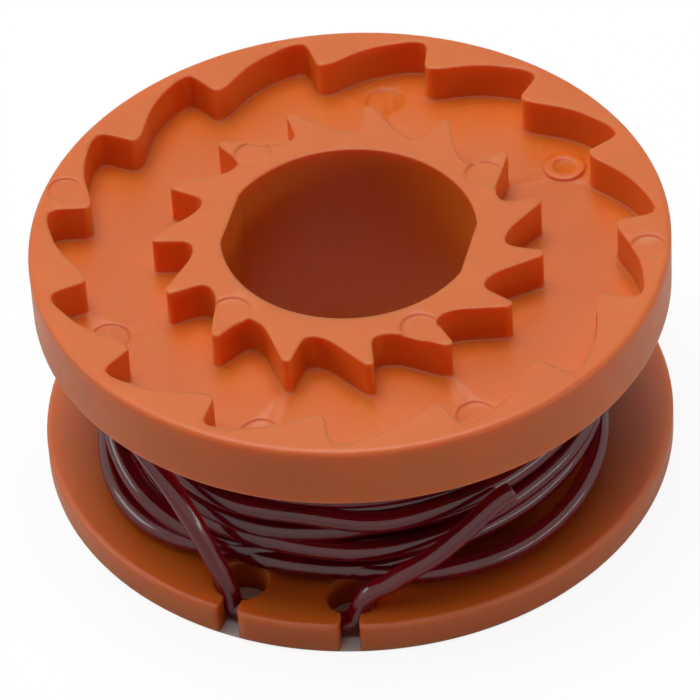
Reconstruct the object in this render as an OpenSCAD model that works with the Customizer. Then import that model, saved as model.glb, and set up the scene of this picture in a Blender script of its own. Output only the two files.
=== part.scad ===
// Spare spool for a garden trimmer, one moulded body with its cutting line wound on it.
// Millimetres, +Z up along the bore, the lower flange rests on Z = 0.

/* [Flanges] */
// Outside diameter of the upper flange, which carries the ratchets
upper_flange_diameter = 52; // [48:0.5:60]
// Outside diameter of the lower flange, which carries the line slots
lower_flange_diameter = 52.2; // [48:0.5:60]
// Height over both flanges
spool_height = 21.9; // [19:0.1:30]
// Thickness of the upper flange
upper_flange_thickness = 5.6; // [5:0.1:8]
// Thickness of the lower flange
lower_flange_thickness = 2.9; // [2.6:0.1:4.5]
// Radius of the rounded rims
rim_radius = 0.5; // [0.2:0.05:0.8]

/* [Bore and drum] */
// Diameter of the round part of the bore
bore_diameter = 20.8; // [17:0.1:22]
// Width of the bore across its two flats
bore_flat_width = 19.9; // [16:0.1:21]
// Turn of the flats about the bore axis, in degrees
bore_flat_turn = -14; // [-90:1:90]
// Wall of the drum that the line is wound on
drum_wall = 2; // [1.4:0.1:2.3]

/* [Ratchets] */
// Teeth in each ratchet ring
tooth_count = 15; // [12:1:18]
// Depth of the recess between the two rings
recess_depth = 3.4; // [2.5:0.1:4]
// Diameter over the tips of the hub teeth
hub_tip_diameter = 31.9; // [30:0.1:34]
// Diameter at the roots of the hub teeth
hub_root_diameter = 25.4; // [24.5:0.1:27]
// Diameter between the tips of the rim teeth
rim_tip_diameter = 43.3; // [41:0.1:44.5]
// Diameter at the roots of the rim teeth
rim_root_diameter = 49.6; // [47:0.1:50]
// Angle of the first steep face of the hub ring
hub_ring_turn = 12.9; // [0:0.1:24]
// Angle of the first steep face of the rim ring
rim_ring_turn = 0.9; // [0:0.1:24]

/* [Line slots] */
// Angle midway between the two slots
slot_middle_angle = 256.45; // [240:0.05:300]
// Angle between the two slots
slot_spacing = 23.7; // [20:0.1:36]
// Width of a slot where it opens through the rim
slot_mouth_width = 1.6; // [1:0.05:2.4]
// Diameter of the round pocket at the inner end of a slot
slot_pocket_diameter = 4.4; // [3.6:0.1:5]
// Distance from the rim to the middle of the pocket
slot_pocket_inset = 3.65; // [3:0.05:4.5]
// Depth of the groove under the web between the slots
groove_depth = 2.05; // [1.5:0.05:2.2]

/* [Mould marks] */
// Diameter of an ejector mark
ejector_mark_diameter = 3.1; // [2:0.1:3.6]
// Depth of an ejector mark
ejector_mark_depth = 0.15; // [0.05:0.05:0.4]
// Diameter of the raised disc on the recess floor
cavity_disc_diameter = 3.5; // [2.5:0.1:4]

/* [Line] */
// Diameter of the cutting line
line_diameter = 1.65; // [1.2:0.05:2]
// Diameter over the wound line
winding_diameter = 42.6; // [36:0.1:43]
// Space between the line and the walls that guide it
line_clearance = 0.1; // [0.05:0.05:0.3]

/* [Hidden] */
$fn = 96;
tool_overlap = 1;
tooth_pitch = 360 / tooth_count;
bore_radius = bore_diameter / 2;
drum_radius = bore_radius + drum_wall;
upper_face = spool_height;
recess_floor = spool_height - recess_depth;
upper_flange_underside = spool_height - upper_flange_thickness;
upper_radius = upper_flange_diameter / 2;
lower_radius = lower_flange_diameter / 2;
pocket_centre_radius = lower_radius - slot_pocket_inset;
line_radius = line_diameter / 2;
line_seat_radius = pocket_centre_radius + slot_pocket_diameter / 2 - line_radius;
first_slot_angle = slot_middle_angle - slot_spacing / 2;
second_slot_angle = slot_middle_angle + slot_spacing / 2;
groove_width = line_diameter + 4 * line_clearance;
hub_mark_radius = (bore_radius + hub_tip_diameter / 2 - rim_radius) / 2;
floor_mark_radius = rim_tip_diameter / 2 - 0.8;
rim_mark_radius = rim_root_diameter / 2 - 0.6;

// Shared curve helpers

function polar(radius, angle) = [radius * cos(angle), radius * sin(angle)];

function toward(from, to, distance) = from + (to - from) * min(0.49, distance / norm(to - from));

function blend(start, corner, end, t) =
    (1 - t) * (1 - t) * start + 2 * t * (1 - t) * corner + t * t * end;

// Rounds each corner [point, reach] of a closed outline with a short curve
function rounded_outline(corners, steps = 4) = [
    for (i = [0 : len(corners) - 1])
        let (count = len(corners))
        let (corner = corners[i][0], reach = corners[i][1])
        let (start = toward(corner, corners[(i + count - 1) % count][0], reach))
        let (end = toward(corner, corners[(i + 1) % count][0], reach))
        for (step = [0 : steps])
            blend(start, corner, end, step / steps)
];

// Quarter round between two directions about a centre, for the flange rims
function quarter_round(centre, radius, from_angle, steps = 5) = [
    for (step = [0 : steps]) centre + polar(radius, from_angle + 90 * step / steps)
];

// Spool body

function hub_tooth(angle) = [
    [polar(hub_tip_diameter / 2, angle - 2.5), 0.3],
    [polar(hub_tip_diameter / 2, angle - 0.2), 0.3],
    [polar(hub_root_diameter / 2, angle + 0.5), 1],
    [polar(hub_root_diameter / 2, angle + 8.6), 1.2]
];

function rim_notch(angle) = [
    [polar(rim_tip_diameter / 2, angle - 2.8), 0.6],
    [polar(rim_tip_diameter / 2, angle - 0.3), 0.45],
    [polar(rim_root_diameter / 2, angle + 1.2), 1],
    [polar(rim_root_diameter / 2, angle + 4.4), 0.9],
    [polar(0.355 * rim_tip_diameter / 2 + 0.645 * rim_root_diameter / 2, angle + 12.9), 3]
];

function tooth_ring(is_hub) = [
    for (tooth = [0 : tooth_count - 1])
        let (angle = (is_hub ? hub_ring_turn : rim_ring_turn) + tooth * tooth_pitch)
        each (is_hub ? hub_tooth(angle) : rim_notch(angle))
];

module turned_body() {
    drum = [drum_radius, drum_radius];
    rotate_extrude()
        polygon(concat(
            [[0, 0]],
            quarter_round([lower_radius - rim_radius, rim_radius], rim_radius, -90),
            quarter_round([lower_radius - rim_radius, lower_flange_thickness - rim_radius], rim_radius, 0),
            [[drum[0], lower_flange_thickness], [drum[1], upper_flange_underside]],
            quarter_round([upper_radius - rim_radius, upper_flange_underside + rim_radius], rim_radius, -90),
            quarter_round([upper_radius - rim_radius, upper_face - rim_radius], rim_radius, 0),
            [[0, upper_face]]
        ));
}

module bore_cut() {
    cut_height = spool_height + 2 * tool_overlap;
    rotate([0, 0, bore_flat_turn])
        translate([0, 0, -tool_overlap])
            intersection() {
                cylinder(r = bore_radius, h = cut_height);
                translate([-bore_flat_width / 2, -bore_diameter, 0])
                    cube([bore_flat_width, 2 * bore_diameter, cut_height]);
            }
}

// The recess is everything inside the rim teeth and outside the hub teeth
module recess_cut() {
    translate([0, 0, recess_floor])
        linear_extrude(recess_depth + tool_overlap)
            difference() {
                polygon(rounded_outline(tooth_ring(false)));
                polygon(rounded_outline(tooth_ring(true)));
            }
}

// Keyhole seen from above, with +X out through the rim and lips rounded on the outside
function keyhole_outline() =
    let (half_mouth = slot_mouth_width / 2, pocket = slot_pocket_diameter / 2)
    let (rim = slot_pocket_inset, open_angle = asin(half_mouth / pocket))
    concat(
        [for (step = [0 : 32]) polar(pocket, open_angle + (360 - 2 * open_angle) * step / 32)],
        [for (step = [0 : 4]) blend(
            [rim - 0.75, -half_mouth], [rim - 0.05, -half_mouth], [rim, -half_mouth - 0.65], step / 4)],
        [[rim + 2, -half_mouth - 0.65], [rim + 2, half_mouth + 0.65]],
        [for (step = [0 : 4]) blend(
            [rim, half_mouth + 0.65], [rim - 0.05, half_mouth], [rim - 0.75, half_mouth], step / 4)]
    );

module slot_cut(angle, lean) {
    rotate([0, 0, angle])
        translate([pocket_centre_radius, 0, -tool_overlap])
            rotate([0, 0, lean])
                linear_extrude(lower_flange_thickness + 2 * tool_overlap)
                    polygon(keyhole_outline());
}

// Groove in the underside of the web, so that the line lies level with the lower face
module groove_cut() {
    chord = 2 * line_seat_radius * sin(slot_spacing / 2);
    depth_in = line_seat_radius * cos(slot_spacing / 2);
    rotate([0, 0, slot_middle_angle])
        translate([depth_in - groove_width / 2, -chord / 2, -tool_overlap])
            cube([groove_width, chord, groove_depth + tool_overlap]);
}

module ejector_mark(radius, angle, face, diameter = ejector_mark_diameter) {
    rotate([0, 0, angle])
        translate([radius, 0, face - ejector_mark_depth])
            cylinder(d = diameter, h = ejector_mark_depth + tool_overlap, $fn = 32);
}

module ejector_marks() {
    for (tooth = [0, 4, 8, 11])
        ejector_mark(hub_mark_radius, hub_ring_turn + 18.3 + tooth * tooth_pitch, upper_face);
    for (tooth = [3, 8, 10, 12])
        ejector_mark(floor_mark_radius, rim_ring_turn + 8.8 + tooth * tooth_pitch, recess_floor);
    for (tooth = [6, 14])
        ejector_mark(rim_mark_radius, rim_ring_turn + 15.8 + 1.5 * (14 - tooth) / 4 + tooth * tooth_pitch,
            upper_face, 0.9 * ejector_mark_diameter);
}

module cavity_disc() {
    rotate([0, 0, rim_ring_turn + 30.8])
        translate([floor_mark_radius, 0, recess_floor - tool_overlap / 2])
            difference() {
                cylinder(d = cavity_disc_diameter, h = tool_overlap / 2 + 0.3, $fn = 40);
                translate([0, 0, tool_overlap / 2 + 0.15])
                    cylinder(d = 0.5 * cavity_disc_diameter, h = 1, $fn = 32);
            }
}

module spool_body() {
    color([0.83, 0.42, 0.2])
        union() {
            difference() {
                turned_body();
                bore_cut();
                recess_cut();
                slot_cut(first_slot_angle, 5);
                slot_cut(second_slot_angle, -5);
                groove_cut();
                ejector_marks();
            }
            cavity_disc();
        }
}

// Line

winding_bottom = lower_flange_thickness + line_clearance;
winding_top = upper_flange_underside - line_clearance;
row_count = floor((winding_top - winding_bottom) / (line_diameter * 1.12));
row_pitch = (winding_top - winding_bottom - line_diameter) / (row_count - 1);
row_slack = max(0, row_pitch - line_diameter * 0.92) / 2;

// The turns of the loose winding wander up, down, in and out on their way round
function row_height(row, angle) =
    winding_bottom + line_radius + row * row_pitch
    + (row == 0 || row == row_count - 1 ? 0 : row_slack * sin(2 * angle + 70 * row));

function row_reach(row, angle) =
    winding_diameter / 2 - line_radius
    - 0.45 * line_diameter * pow(sin(angle * (1 + row % 2) + 63 * row), 2);

function winding_section(angle) = concat(
    [[drum_radius + line_clearance, winding_bottom]],
    [for (row = [0 : row_count - 1])
        for (step = [0 : 4])
            [row_reach(row, angle), row_height(row, angle)] + polar(line_radius, 31 * step - 62)],
    [[drum_radius + line_clearance, winding_top]]
);

winding_steps = 96;

module winding() {
    sections = [for (step = [0 : winding_steps - 1]) winding_section(360 * step / winding_steps)];
    count = len(sections[0]);
    polyhedron(
        points = [
            for (step = [0 : winding_steps - 1])
                for (spot = sections[step])
                    [
                        spot[0] * cos(360 * step / winding_steps),
                        spot[0] * sin(360 * step / winding_steps),
                        spot[1]
                    ]
        ],
        faces = [
            for (step = [0 : winding_steps - 1])
                for (spot = [0 : count - 1])
                    let (here = step * count, next = ((step + 1) % winding_steps) * count)
                    let (up = (spot + 1) % count)
                    each [
                        [here + spot, here + up, next + up],
                        [here + spot, next + up, next + spot]
                    ]
        ]
    );
}

// Smooth curve through hand-placed points, each [radius, angle, height]
function on_spool(spot) = [spot[0] * cos(spot[1]), spot[0] * sin(spot[1]), spot[2]];

function curve_point(a, b, c, d, t) = 0.5 * (
    2 * b + (c - a) * t + (2 * a - 5 * b + 4 * c - d) * t * t + (3 * b - a - 3 * c + d) * t * t * t
);

function smooth_route(spots, steps) =
    let (last = len(spots) - 1)
    concat(
        [for (i = [0 : last - 1])
            for (step = [0 : steps - 1])
                curve_point(
                    spots[max(i - 1, 0)], spots[i], spots[i + 1], spots[min(i + 2, last)], step / steps
                )],
        [spots[last]]
    );

function unit(v) = v / norm(v);

module line_along(route, sides = 10) {
    count = len(route);
    rings = [
        for (i = [0 : count - 1])
            let (heading = unit(route[min(i + 1, count - 1)] - route[max(i - 1, 0)]))
            let (outward = unit([route[i][0], route[i][1], 0] - heading * (route[i] * heading)))
            let (side = unit(cross(outward, heading)))
            let (out = cross(heading, side))
            for (k = [0 : sides - 1])
                route[i] + line_radius * (out * cos(360 * k / sides) + side * sin(360 * k / sides))
    ];
    polyhedron(
        points = rings,
        faces = concat(
            [[for (k = [sides - 1 : -1 : 0]) k]],
            [for (i = [0 : count - 2])
                for (k = [0 : sides - 1])
                    let (here = i * sides, next = here + sides, beside = (k + 1) % sides)
                    each [[here + k, here + beside, next + beside], [here + k, next + beside, next + k]]],
            [[for (k = [0 : sides - 1]) (count - 1) * sides + k]]
        )
    );
}

// Places that move with the sizes: level(0) and level(1) are the lowest and highest row of line,
// outer(0) is the outermost turn, and seat is where the line rests against the lips of the slots
seat = line_seat_radius - line_clearance;
groove_middle = groove_depth - line_clearance - line_radius;
slot_top = lower_flange_thickness;
lowest_level = winding_bottom + line_radius;
highest_level = winding_top - line_radius;

function level(share) = lowest_level + share * (highest_level - lowest_level);

function outer(extra) = winding_diameter / 2 - line_radius + extra;

// The free end leaves the winding under the upper flange, drops through the first slot,
// crosses under the web, comes up through the second slot and ends beside the winding
free_end_route = [
    [outer(-0.5), 186, level(0.96)],
    [outer(0.8), 203, level(0.93)],
    [seat - 1.1, 218, level(0.86)],
    [seat - 0.4, 229, level(0.72)],
    [seat - 0.25, 235.3, level(0.465)],
    [seat - 0.2, first_slot_angle - 4.6, level(0.165)],
    [seat - 0.05, first_slot_angle - 1.2, slot_top - 0.15],
    [seat, first_slot_angle - 0.7, groove_middle + 0.25],
    [seat - 0.05, first_slot_angle + 0.8, groove_middle - 0.1],
    [seat - 0.2, first_slot_angle + 3.6, groove_middle],
    [seat - 0.5, slot_middle_angle, groove_middle],
    [seat - 0.2, second_slot_angle - 4.6, groove_middle],
    [seat - 0.1, second_slot_angle - 1.9, groove_middle],
    [seat - 0.05, second_slot_angle, groove_middle + 0.4],
    [seat - 0.05, second_slot_angle + 1, slot_top - 0.5],
    [seat - 0.1, second_slot_angle + 2.1, slot_top + 0.5],
    [seat - 0.2, second_slot_angle + 4, level(0.05)],
    [seat - 0.3, second_slot_angle + 7.2, level(0.1)],
    [seat - 0.4, second_slot_angle + 10.8, level(0.175)],
    [seat - 0.5, 285, level(0.278)],
    [seat - 0.6, 292.3, level(0.45)],
    [seat - 0.7, 298.2, level(0.58)],
    [seat - 0.6, 302.3, level(0.635)]
];

// Two turns that have sprung outward over the lower flange
loose_turn_routes = [
    [[outer(-0.9), 176, level(0.084)], [outer(0.4), 190, level(0.058)], [outer(1.5), 203, level(0.024)],
        [outer(2.1), 216, level(0.006)], [outer(1.6), 228, level(0.015)], [outer(0.1), 240, level(0.041)],
        [outer(-1.1), 250, level(0.067)]],
    [[outer(-1.1), 258, level(0.067)], [outer(0.3), 272, level(0.024)], [outer(1.5), 287, level(0.006)],
        [outer(2.1), 303, level(0.015)], [outer(2), 318, level(0.058)], [outer(1.1), 333, level(0.128)],
        [outer(-0.2), 346, level(0.188)], [outer(-1.2), 358, level(0.223)]]
];

module trimmer_line() {
    color([0.35, 0.02, 0.06])
        union() {
            winding();
            line_along(smooth_route([for (spot = free_end_route) on_spool(spot)], 4));
            for (turn = loose_turn_routes)
                line_along(smooth_route([for (spot = turn) on_spool(spot)], 4), 8);
        }
}

spool_body();
trimmer_line();
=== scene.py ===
"""Looks of the trimmer line spool: satin orange moulding and glossy wine-red line on a white table."""

import math

import bmesh
import bpy
import numpy as np
from mathutils import Matrix, Vector


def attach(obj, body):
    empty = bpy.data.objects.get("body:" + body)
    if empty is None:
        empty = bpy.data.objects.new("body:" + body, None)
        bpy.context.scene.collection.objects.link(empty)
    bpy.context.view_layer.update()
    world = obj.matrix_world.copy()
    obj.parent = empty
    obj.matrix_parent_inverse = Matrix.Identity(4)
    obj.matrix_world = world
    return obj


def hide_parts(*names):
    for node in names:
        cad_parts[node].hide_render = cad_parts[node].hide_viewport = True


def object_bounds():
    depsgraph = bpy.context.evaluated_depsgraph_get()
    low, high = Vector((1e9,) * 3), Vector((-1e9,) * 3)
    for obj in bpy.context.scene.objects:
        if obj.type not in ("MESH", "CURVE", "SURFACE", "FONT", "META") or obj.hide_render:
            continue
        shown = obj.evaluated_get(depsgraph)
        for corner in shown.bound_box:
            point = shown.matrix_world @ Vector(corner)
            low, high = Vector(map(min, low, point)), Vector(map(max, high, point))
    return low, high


MM = 0.001

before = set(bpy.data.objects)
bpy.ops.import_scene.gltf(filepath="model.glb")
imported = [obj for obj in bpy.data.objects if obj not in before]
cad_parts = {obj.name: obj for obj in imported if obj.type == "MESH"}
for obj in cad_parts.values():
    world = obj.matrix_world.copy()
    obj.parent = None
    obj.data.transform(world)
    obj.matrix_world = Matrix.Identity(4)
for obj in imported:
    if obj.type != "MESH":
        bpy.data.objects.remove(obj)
cad_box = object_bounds()

# Sizes that the line follows, in millimetres, as in the part's source
LINE_DIAMETER = 1.65
LINE_RADIUS = LINE_DIAMETER / 2
DRUM_RADIUS = 12.4
LOWER_FLANGE = 2.9
UPPER_UNDERSIDE = 16.3


# Nodes and materials


def new_material(name):
    material = bpy.data.materials.new(name)
    material.use_nodes = True
    tree = material.node_tree
    tree.nodes.clear()
    output = tree.nodes.new("ShaderNodeOutputMaterial")
    shader = tree.nodes.new("ShaderNodeBsdfPrincipled")
    tree.links.new(shader.outputs["BSDF"], output.inputs["Surface"])
    return material, tree, shader


def object_noise(tree, scale, detail, roughness=0.5, stretch=None):
    """Noise fixed to the object, in object coordinates, with scale in bumps per metre."""
    coordinates = tree.nodes.new("ShaderNodeTexCoord")
    noise = tree.nodes.new("ShaderNodeTexNoise")
    noise.inputs["Scale"].default_value = scale
    noise.inputs["Detail"].default_value = detail
    noise.inputs["Roughness"].default_value = roughness
    source = coordinates.outputs["Object"]
    if stretch:
        mapping = tree.nodes.new("ShaderNodeMapping")
        mapping.inputs["Scale"].default_value = stretch
        tree.links.new(source, mapping.inputs["Vector"])
        source = mapping.outputs["Vector"]
    tree.links.new(source, noise.inputs["Vector"])
    return noise.outputs["Fac"]


def ramp(tree, value, stops):
    node = tree.nodes.new("ShaderNodeValToRGB")
    node.color_ramp.elements[0].position = stops[0][0]
    node.color_ramp.elements[0].color = stops[0][1]
    node.color_ramp.elements[1].position = stops[1][0]
    node.color_ramp.elements[1].color = stops[1][1]
    tree.links.new(value, node.inputs["Fac"])
    return node.outputs["Color"]


def bump(tree, height, strength, distance, normal=None):
    node = tree.nodes.new("ShaderNodeBump")
    node.inputs["Strength"].default_value = strength
    node.inputs["Distance"].default_value = distance
    tree.links.new(height, node.inputs["Height"])
    if normal:
        tree.links.new(normal, node.inputs["Normal"])
    return node.outputs["Normal"]


def orange_plastic():
    material, tree, shader = new_material("orange_moulding")
    cloud = object_noise(tree, 80, 3)
    colour = ramp(tree, cloud, [(0.3, (0.69, 0.145, 0.007, 1)), (0.7, (0.73, 0.162, 0.010, 1))])
    tree.links.new(colour, shader.inputs["Base Color"])
    gloss = ramp(tree, object_noise(tree, 700, 4), [(0.35, (0.36,) * 3 + (1,)), (0.65, (0.44,) * 3 + (1,))])
    tree.links.new(gloss, shader.inputs["Roughness"])
    soft = tree.nodes.new("ShaderNodeBevel")
    soft.samples = 6
    soft.inputs["Radius"].default_value = 0.0004
    grain = bump(tree, object_noise(tree, 5200, 2), 0.1, 0.00002, soft.outputs["Normal"])
    flow = bump(tree, object_noise(tree, 260, 2), 0.25, 0.00004, grain)
    tree.links.new(flow, shader.inputs["Normal"])
    shader.inputs["Subsurface Weight"].default_value = 0.9
    shader.inputs["Subsurface Radius"].default_value = (1.0, 0.12, 0.03)
    shader.inputs["Subsurface Scale"].default_value = 0.0025
    shader.inputs["IOR"].default_value = 1.46
    return material


def line_nylon():
    material, tree, shader = new_material("wine_red_nylon")
    cloud = object_noise(tree, 160, 2)
    colour = ramp(tree, cloud, [(0.3, (0.30, 0.004, 0.016, 1)), (0.7, (0.42, 0.006, 0.022, 1))])
    tree.links.new(colour, shader.inputs["Base Color"])
    scuff = bump(tree, object_noise(tree, 900, 3), 0.15, 0.00003)
    tree.links.new(scuff, shader.inputs["Normal"])
    shader.inputs["Roughness"].default_value = 0.13
    shader.inputs["Transmission Weight"].default_value = 0.6
    shader.inputs["IOR"].default_value = 1.53
    return material


def finish_moulding(body, material):
    """The CAD solid stays. Its sharp edges get the small radius that a mould leaves."""
    body.data.materials.clear()
    body.data.materials.append(material)
    weld = body.modifiers.new("weld", "WELD")
    weld.merge_threshold = 0.000002
    bevel = body.modifiers.new("mould_radius", "BEVEL")
    bevel.width = 0.00016
    bevel.segments = 2
    bevel.limit_method = "ANGLE"
    bevel.angle_limit = math.radians(35)
    for face in body.data.polygons:
        face.use_smooth = True
    smooth = body.modifiers.new("weighted", "WEIGHTED_NORMAL")
    smooth.keep_sharp = False


# Line


def on_spool(radius, angle, height):
    turn = math.radians(angle)
    return np.array([radius * math.cos(turn), radius * math.sin(turn), height])


def smooth_route(spots, steps):
    """Catmull-Rom curve through the spots."""
    spots = [np.array(spot, float) for spot in spots]
    last = len(spots) - 1
    route = []
    for i in range(last):
        a, b = spots[max(i - 1, 0)], spots[i]
        c, d = spots[i + 1], spots[min(i + 2, last)]
        for step in range(steps):
            t = step / steps
            bend = 2 * a - 5 * b + 4 * c - d
            turn = 3 * b - a - 3 * c + d
            route.append(0.5 * (2 * b + (c - a) * t + bend * t * t + turn * t**3))
    route.append(spots[last])
    return np.array(route)


def tube(mesh, route, radii, sides=14, flatten=None):
    """Adds a closed tube along the route, both in millimetres, to a bmesh in metres."""
    count = len(route)
    rings = []
    side = None
    for i in range(count):
        heading = route[min(i + 1, count - 1)] - route[max(i - 1, 0)]
        heading = heading / np.linalg.norm(heading)
        out = np.array([route[i][0], route[i][1], 0.0])
        out = out - heading * np.dot(out, heading)
        out = out / np.linalg.norm(out)
        side = np.cross(heading, out)
        wide, thick = (1, 1) if flatten is None else flatten[i]
        ring = []
        for k in range(sides):
            turn = 2 * math.pi * k / sides
            spot = route[i] + radii[i] * (thick * math.cos(turn) * out + wide * math.sin(turn) * side)
            ring.append(mesh.verts.new(spot * MM))
        rings.append(ring)
    for i in range(count - 1):
        for k in range(sides):
            beside = (k + 1) % sides
            face = mesh.faces.new((rings[i][k], rings[i][beside], rings[i + 1][beside], rings[i + 1][k]))
            face.smooth = True
    mesh.faces.new(list(reversed(rings[0])))
    mesh.faces.new(rings[-1])


def rounded_radii(count, radius, spacing):
    """Radius along a tube whose two ends are cut off with a rounded edge."""
    radii = np.full(count, radius)
    radii[0] = 0.72 * radius
    radii[-1] = 0.72 * radius
    return radii


def wander(n, seed):
    """Smooth noise along the turns, from -1 to 1, always the same."""
    total = 0.0
    for k, (rate, weight) in enumerate([(0.83, 0.5), (1.71, 0.3), (2.93, 0.2)]):
        total += weight * math.sin(2 * math.pi * (rate * n + 0.37 * seed + 0.21 * k * seed))
    return total


def winding_route():
    """The turns under the outer ones: back and forth along the drum, layer on layer."""
    low = LOWER_FLANGE + 0.15 + LINE_RADIUS
    high = UPPER_UNDERSIDE - 0.15 - LINE_RADIUS
    rows = 7.0
    layers = 5
    spots = []
    steps = int(rows * layers * 72)
    for step in range(steps + 1):
        n = step / 72
        layer = n / rows
        part = layer % 2
        climb = part if part <= 1 else 2 - part
        loose = layer / layers
        height = low + (high - low) * climb + 0.45 * loose * wander(n, 1)
        height = min(max(height, low), high)
        radius = DRUM_RADIUS + 0.1 + LINE_RADIUS + 1.38 * layer + 0.35 * loose * wander(n, 2)
        spots.append(on_spool(radius, 150 + 360 * n, height))
    return np.array(spots)


# Outer turns as the photograph shows them: [radius, angle, height] in millimetres and degrees
OUTER_TURNS = [
    [(19.4, 150, 13.2), (19.9, 190, 13.4), (20.3, 215, 13.1), (20.6, 240, 12.6), (20.5, 265, 12.4),
     (20.4, 290, 12.8), (20.3, 320, 13.0), (19.6, 350, 13.4)],
    [(19.3, 160, 10.4), (20.2, 195, 10.6), (20.5, 220, 10.2), (20.7, 240, 9.6), (20.6, 258, 9.9),
     (20.7, 275, 9.2), (20.7, 292, 9.7), (20.4, 315, 9.9), (20.0, 340, 10.2), (19.2, 10, 10.6)],
    [(19.2, 165, 7.4), (20.0, 200, 8.2), (20.5, 225, 7.8), (20.5, 245, 7.5), (20.0, 262, 7.7),
     (19.4, 280, 8.2)],
    [(19.4, 205, 6.9), (20.4, 232, 6.3), (20.7, 252, 6.5), (20.7, 272, 6.1), (20.6, 290, 6.5),
     (20.5, 310, 7.3), (20.3, 335, 7.6), (19.2, 5, 7.9)],
    [(19.2, 225, 4.2), (20.3, 243, 3.9), (20.5, 258, 4.0), (20.5, 275, 4.1), (20.4, 295, 5.4),
     (20.5, 315, 5.9), (20.2, 340, 6.4), (19.2, 10, 6.4)],
]

LOOSE_TURNS = [
    [(19.6, 172, 4.8), (20.9, 188, 4.5), (21.9, 202, 4.1), (22.4, 214, 3.9), (22.1, 226, 3.95),
     (20.9, 238, 4.2), (19.4, 250, 4.4)],
    [(19.3, 176, 8.6), (20.6, 192, 8.0), (21.5, 206, 7.0), (21.8, 219, 5.9), (21.2, 232, 4.9),
     (19.6, 246, 4.3)],
    [(19.4, 258, 4.1), (20.8, 272, 3.9), (21.9, 287, 3.85), (22.5, 303, 3.9), (22.4, 318, 4.4),
     (21.6, 333, 5.2), (20.4, 346, 5.9), (19.2, 0, 6.3)],
]

FREE_END = [
    (19.98, 186, 14.91), (21.28, 203, 14.57), (22.63, 218, 13.76), (23.33, 229, 12.14), (23.48, 235.3, 9.2),
    (23.53, 240, 5.73), (23.68, 243.4, 2.75), (23.73, 243.9, 1.38), (23.68, 245.4, 1.03), (23.53, 248.2, 1.13),
    (23.23, 256.45, 1.13), (23.53, 263.7, 1.13), (23.63, 266.4, 1.13), (23.68, 268.3, 1.53), (23.68, 269.3, 2.4),
    (23.63, 270.4, 3.4), (23.53, 272.3, 4.4), (23.43, 275.5, 4.98), (23.33, 279.1, 5.85), (23.23, 285, 7.04),
    (23.13, 292.3, 9.02), (23.03, 298.2, 10.52), (23.13, 302.3, 11.16),
]


def mesh_piece(name, mesh, material):
    data = bpy.data.meshes.new(name)
    bmesh.ops.recalc_face_normals(mesh, faces=mesh.faces[:])
    mesh.to_mesh(data)
    mesh.free()
    data.materials.append(material)
    piece = bpy.data.objects.new(name, data)
    bpy.context.scene.collection.objects.link(piece)
    return piece


def add_strand(mesh, spots, steps=10, sides=14):
    """One length of line through given spots. Angles past a full turn carry on upward."""
    unrolled = []
    before = None
    for radius, angle, height in spots:
        while before is not None and angle < before - 180:
            angle += 360
        unrolled.append((radius, angle, height))
        before = angle
    smooth = smooth_route(unrolled, steps)
    route = np.array([on_spool(*spot) for spot in smooth])
    tube(mesh, route, rounded_radii(len(route), LINE_RADIUS, 1), sides)


def make_line(material):
    winding = bmesh.new()
    inner = winding_route()
    tube(winding, inner, np.full(len(inner), LINE_RADIUS), 10)
    for turn in OUTER_TURNS:
        add_strand(winding, turn)
    for turn in LOOSE_TURNS:
        add_strand(winding, turn)
    wound = mesh_piece("line_wound", winding, material)

    end = bmesh.new()
    add_strand(end, FREE_END, 10, 20)
    free_end = mesh_piece("line_free_end", end, material)

    for piece in (wound, free_end):
        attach(piece, "root")
        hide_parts("trimmer_line")
    return wound, free_end


# Stage, light and camera


def shows_background(tree):
    """One for a ray from the camera or off gloss or glass, and zero for one that carries light."""
    path = tree.nodes.new("ShaderNodeLightPath")
    either = tree.nodes.new("ShaderNodeMath")
    either.operation = "MAXIMUM"
    tree.links.new(path.outputs["Is Glossy Ray"], either.inputs[0])
    tree.links.new(path.outputs["Is Transmission Ray"], either.inputs[1])
    seen = tree.nodes.new("ShaderNodeMath")
    seen.operation = "MAXIMUM"
    tree.links.new(path.outputs["Is Camera Ray"], seen.inputs[0])
    tree.links.new(either.outputs[0], seen.inputs[1])
    return seen.outputs[0]


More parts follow.
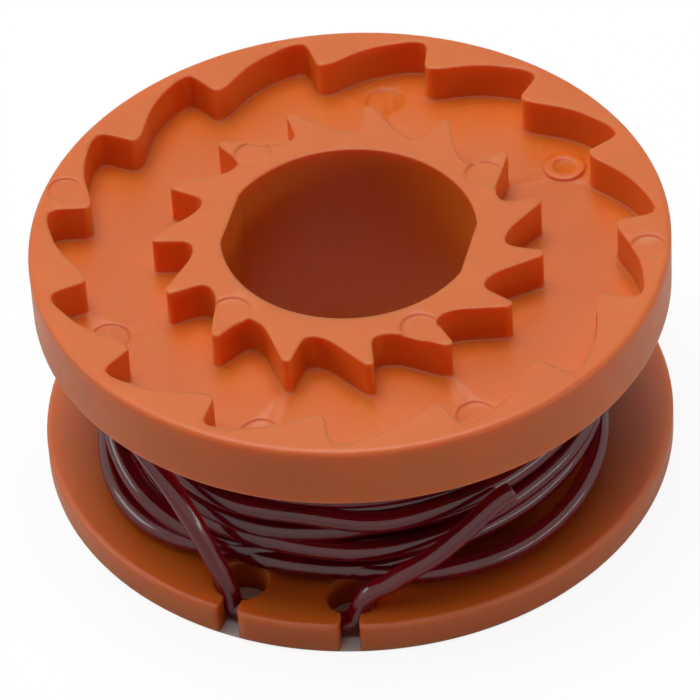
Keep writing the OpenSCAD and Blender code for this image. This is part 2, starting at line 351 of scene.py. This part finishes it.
def white_floor():
    bpy.ops.mesh.primitive_plane_add(size=6, location=(0, 0, cad_box[0][2] - 0.00002))
    floor = bpy.context.object
    floor.name = "floor"
    material = bpy.data.materials.new("white_table")
    material.use_nodes = True
    tree = material.node_tree
    tree.nodes.clear()
    output = tree.nodes.new("ShaderNodeOutputMaterial")
    diffuse = tree.nodes.new("ShaderNodeBsdfDiffuse")
    diffuse.inputs["Color"].default_value = (0.62, 0.62, 0.62, 1)
    white = tree.nodes.new("ShaderNodeEmission")
    white.inputs["Strength"].default_value = 1.12
    path = tree.nodes.new("ShaderNodeLightPath")
    through = tree.nodes.new("ShaderNodeMath")
    through.operation = "MAXIMUM"
    tree.links.new(path.outputs["Is Glossy Ray"], through.inputs[0])
    tree.links.new(path.outputs["Is Transmission Ray"], through.inputs[1])
    part = tree.nodes.new("ShaderNodeMath")
    part.operation = "MULTIPLY"
    part.inputs[1].default_value = 0.3
    tree.links.new(through.outputs[0], part.inputs[0])
    share = tree.nodes.new("ShaderNodeMath")
    share.operation = "MULTIPLY_ADD"
    share.inputs[1].default_value = 0.8
    tree.links.new(path.outputs["Is Camera Ray"], share.inputs[0])
    tree.links.new(part.outputs[0], share.inputs[2])
    place = tree.nodes.new("ShaderNodeTexCoord")
    from_axis = tree.nodes.new("ShaderNodeVectorMath")
    from_axis.operation = "LENGTH"
    tree.links.new(place.outputs["Object"], from_axis.inputs[0])
    beside = tree.nodes.new("ShaderNodeMath")
    beside.operation = "GREATER_THAN"
    beside.inputs[1].default_value = 0.99 * cad_box[1][0]
    tree.links.new(from_axis.outputs["Value"], beside.inputs[0])
    open_floor = tree.nodes.new("ShaderNodeMath")
    open_floor.operation = "MULTIPLY"
    tree.links.new(share.outputs[0], open_floor.inputs[0])
    tree.links.new(beside.outputs[0], open_floor.inputs[1])
    mix = tree.nodes.new("ShaderNodeMixShader")
    tree.links.new(open_floor.outputs[0], mix.inputs["Fac"])
    tree.links.new(diffuse.outputs["BSDF"], mix.inputs[1])
    tree.links.new(white.outputs["Emission"], mix.inputs[2])
    tree.links.new(mix.outputs["Shader"], output.inputs["Surface"])
    floor.data.materials.append(material)


def studio_world():
    world = bpy.data.worlds.new("studio")
    world.use_nodes = True
    tree = world.node_tree
    tree.nodes.clear()
    output = tree.nodes.new("ShaderNodeOutputWorld")
    fill = tree.nodes.new("ShaderNodeBackground")
    fill.inputs["Color"].default_value = (1, 1, 1, 1)
    fill.inputs["Strength"].default_value = 0.05
    white = tree.nodes.new("ShaderNodeBackground")
    white.inputs["Color"].default_value = (1, 1, 1, 1)
    white.inputs["Strength"].default_value = 1
    mix = tree.nodes.new("ShaderNodeMixShader")
    tree.links.new(shows_background(tree), mix.inputs["Fac"])
    tree.links.new(fill.outputs["Background"], mix.inputs[1])
    tree.links.new(white.outputs["Background"], mix.inputs[2])
    tree.links.new(mix.outputs["Shader"], output.inputs["Surface"])
    bpy.context.scene.world = world


def softbox(name, azimuth, elevation, distance, width, height, power):
    """Square lamp aimed at the spool. Azimuth 0 is in front, 90 on the right."""
    turn = math.radians(azimuth)
    rise = math.radians(elevation)
    place = Vector((math.sin(turn) * math.cos(rise), -math.cos(turn) * math.cos(rise), math.sin(rise)))
    data = bpy.data.lights.new(name, "AREA")
    data.shape = "RECTANGLE"
    data.size = width
    data.size_y = height
    data.energy = power
    lamp = bpy.data.objects.new(name, data)
    lamp.location = place * distance + Vector((0, 0, 0.011))
    lamp.rotation_euler = place.to_track_quat("Z", "Y").to_euler()
    bpy.context.scene.collection.objects.link(lamp)


def photo_camera():
    """Long lens at the photograph's angle, found from the ellipses of the rims."""
    azimuth = math.radians(1.99)
    elevation = math.radians(42.26)
    roll = math.radians(3.53)
    distance = 0.4163
    aim = Vector((-0.00046, -0.00098, 0.00994))
    data = bpy.data.cameras.new("camera")
    data.lens = 260.5
    data.sensor_width = 36
    data.clip_start = 0.01
    camera = bpy.data.objects.new("camera", data)
    back = Vector((
        math.sin(azimuth) * math.cos(elevation),
        -math.cos(azimuth) * math.cos(elevation),
        math.sin(elevation),
    ))
    camera.location = aim + back * distance
    upright = back.to_track_quat("Z", "Y").to_matrix()
    camera.rotation_euler = (upright @ Matrix.Rotation(-roll, 3, "Z")).to_euler()
    bpy.context.scene.collection.objects.link(camera)
    bpy.context.scene.camera = camera


photo_camera()
finish_moulding(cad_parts["spool_body"], orange_plastic())
make_line(line_nylon())
white_floor()
studio_world()
softbox("top_light", -150, 81, 0.8, 0.62, 0.62, 5.5)
softbox("left_light", -95, 25, 0.8, 0.4, 0.3, 1.2)
softbox("right_light", 66, 12, 0.8, 0.7, 0.09, 0.9)

scene = bpy.context.scene
scene.view_settings.view_transform = "Standard"
